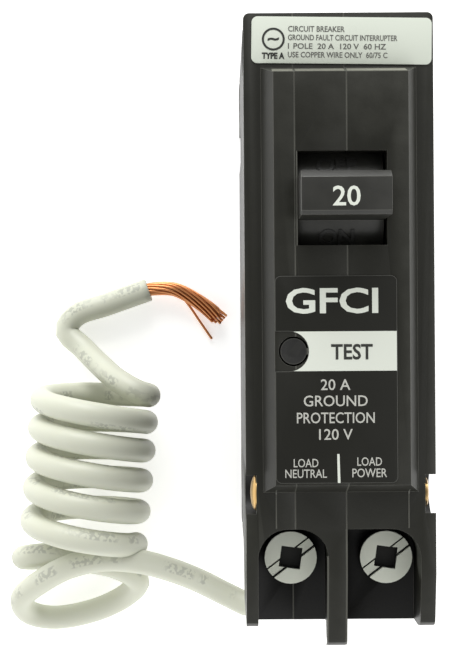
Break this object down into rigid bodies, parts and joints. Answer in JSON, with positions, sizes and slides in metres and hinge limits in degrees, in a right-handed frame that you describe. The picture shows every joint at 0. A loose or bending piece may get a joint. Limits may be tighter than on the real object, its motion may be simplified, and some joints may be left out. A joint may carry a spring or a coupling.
{
  "type": "gfci breaker",
  "caption": "Slim plug-on ground-fault breaker lying on its back, with tilting handle, test button, bus jaw, wire terminals and a coiled white pigtail with a stripped end.",
  "frame": {"origin": "middle of the case on its back plane, the pigtail left out", "axes": "+Z out of the front towards the handle, +Y along the case towards the line (bus) end, +X across to the right seen from the front"},
  "size_m": [0.0639, 0.0926, 0.0594],
  "materials": {
    "case_plastic": "moulded dark olive-black thermoset plastic, fine grain",
    "handle_plastic": "moulded black plastic, slightly glossier than the case",
    "rating_paper": "cream-white printed film label",
    "front_film": "black printed film label with white marks",
    "rivet_brass": "plain brass, lightly tarnished",
    "screw_steel": "zinc-plated steel, faint green cast",
    "plain_steel": "bright stamped steel",
    "strap_brass": "stamped brass strip",
    "bare_copper": "bare copper",
    "contact_silver": "silver contact face",
    "button_plastic": "moulded black plastic",
    "fibre": "vulcanised fibre sheet",
    "board_green": "green solder-masked laminate",
    "component_black": "black epoxy package",
    "varistor_blue": "blue coated disc",
    "capacitor_sleeve": "dark blue plastic sleeve",
    "toroid_tape": "varnished wound core",
    "coil_copper": "enamelled copper winding",
    "lever_nylon": "natural nylon",
    "bush_rubber": "black rubber bush",
    "wire_jacket": "ivory-white soft vinyl wire jacket"
  },
  "bodies": {
    "breaker": {"arc_chute_frame": "fibre", "arc_plate_1": "plain_steel", "arc_plate_2": "plain_steel", "arc_plate_3": "plain_steel", "arc_plate_4": "plain_steel", "arm_pin": "plain_steel", "armature_spring": "plain_steel", "bimetal": "strap_brass", "calibration_screw": "rivet_brass", "capacitor_1": "capacitor_sleeve", "capacitor_2": "capacitor_sleeve", "center_housing": "case_plastic", "circuit_board": "board_green", "cradle_pin": "plain_steel", "front_label": "front_film", "grounding_toroid": "toroid_tape", "handle_pin": "plain_steel", "ic_chip": "component_black", "left_cover": "case_plastic", "line_conductor": "bare_copper", "line_jaw": "bare_copper", "magnet_yoke": "plain_steel", "neutral_conductor": "bare_copper", "neutral_strap": "strap_brass", "pigtail_bushing": "bush_rubber", "pigtail_coil": "wire_jacket", "pigtail_conductor": "bare_copper", "pigtail_lead": "wire_jacket", "pigtail_tail": "wire_jacket", "plunger_spring": "plain_steel", "power_strap": "strap_brass", "rating_label": "rating_paper", "right_cover": "case_plastic", "rivet_1": "rivet_brass", "rivet_2": "rivet_brass", "rivet_3": "rivet_brass", "rivet_4": "rivet_brass", "sensing_toroid": "toroid_tape", "shunt_braid": "bare_copper", "solenoid_coil": "coil_copper", "solenoid_frame": "plain_steel", "stationary_contact": "contact_silver", "test_contact": "strap_brass", "test_spring": "plain_steel", "thyristor": "component_black", "toggle_spring": "plain_steel", "varistor": "varistor_blue"},
    "handle_body": {"handle": "handle_plastic"},
    "arm_body": {"contact_arm": "bare_copper", "moving_contact": "contact_silver"},
    "cradle_body": {"cradle": "plain_steel"},
    "armature_body": {"armature": "plain_steel"},
    "test_button_body": {"test_button": "button_plastic"},
    "plunger_body": {"plunger": "plain_steel"},
    "trip_lever_body": {"trip_lever": "lever_nylon"},
    "neutral_screw_body": {"neutral_screw": "screw_steel"},
    "neutral_clamp_body": {"neutral_clamp": "plain_steel"},
    "power_screw_body": {"power_screw": "screw_steel"},
    "power_clamp_body": {"power_clamp": "plain_steel"}
  },
  "joints": [
    {"name": "handle_tilt", "type": "hinge", "parent": "breaker", "child": "handle_body", "pos_m": [0, 0.0174, 0.041], "axis": [-1, 0, 0], "range_deg": [-14, 14]},
    {"name": "contact_arm_swing", "type": "hinge", "parent": "breaker", "child": "arm_body", "pos_m": [0.0055, 0.009, 0.0335], "axis": [-1, 0, 0], "range_deg": [-13.3, 13.3]},
    {"name": "cradle_trip", "type": "hinge", "parent": "breaker", "child": "cradle_body", "pos_m": [0.00945, -0.003, 0.037], "axis": [1, 0, 0], "range_deg": [0, 18]},
    {"name": "armature_pull", "type": "hinge", "parent": "breaker", "child": "armature_body", "pos_m": [0.006, -0.0129, 0.033], "axis": [-1, 0, 0], "range_deg": [0, 2.4], "stiffness_Nm_per_rad": 0.01},
    {"name": "test_button_press", "type": "slide", "parent": "breaker", "child": "test_button_body", "axis": [0, 0, -1], "range_m": [0, 0.0012], "stiffness_N_per_m": 300, "deforming": ["test_spring"]},
    {"name": "plunger_pull", "type": "slide", "parent": "breaker", "child": "plunger_body", "axis": [0, 1, 0], "range_m": [0, 0.0014], "stiffness_N_per_m": 150, "deforming": ["plunger_spring"]},
    {"name": "trip_lever_tilt", "type": "hinge", "parent": "breaker", "child": "trip_lever_body", "pos_m": [-0.00016, -0.0057, 0.012], "axis": [0, 0, -1], "range_deg": [0, 17]},
    {"name": "neutral_screw_turn", "type": "hinge", "parent": "breaker", "child": "neutral_screw_body", "pos_m": [-0.0065, -0.03075, 0.043], "axis": [0, 0, 1], "range_deg": [0, 1260]},
    {"name": "neutral_clamp_lift", "type": "slide", "parent": "breaker", "child": "neutral_clamp_body", "axis": [0, 0, 1], "range_m": [0, 0.0028]},
    {"name": "power_screw_turn", "type": "hinge", "parent": "breaker", "child": "power_screw_body", "pos_m": [0.0065, -0.03075, 0.043], "axis": [0, 0, 1], "range_deg": [0, 1260]},
    {"name": "power_clamp_lift", "type": "slide", "parent": "breaker", "child": "power_clamp_body", "axis": [0, 0, 1], "range_m": [0, 0.0028]}
  ],
  "couplings": [
    {"joint": "contact_arm_swing", "follows": "handle_tilt", "ratio": 0.95},
    {"joint": "trip_lever_tilt", "follows": "plunger_pull", "rad_per_m": 200},
    {"joint": "neutral_clamp_lift", "follows": "neutral_screw_turn", "m_per_rad": 0.00012637},
    {"joint": "power_clamp_lift", "follows": "power_screw_turn", "m_per_rad": 0.00012637}
  ]
}
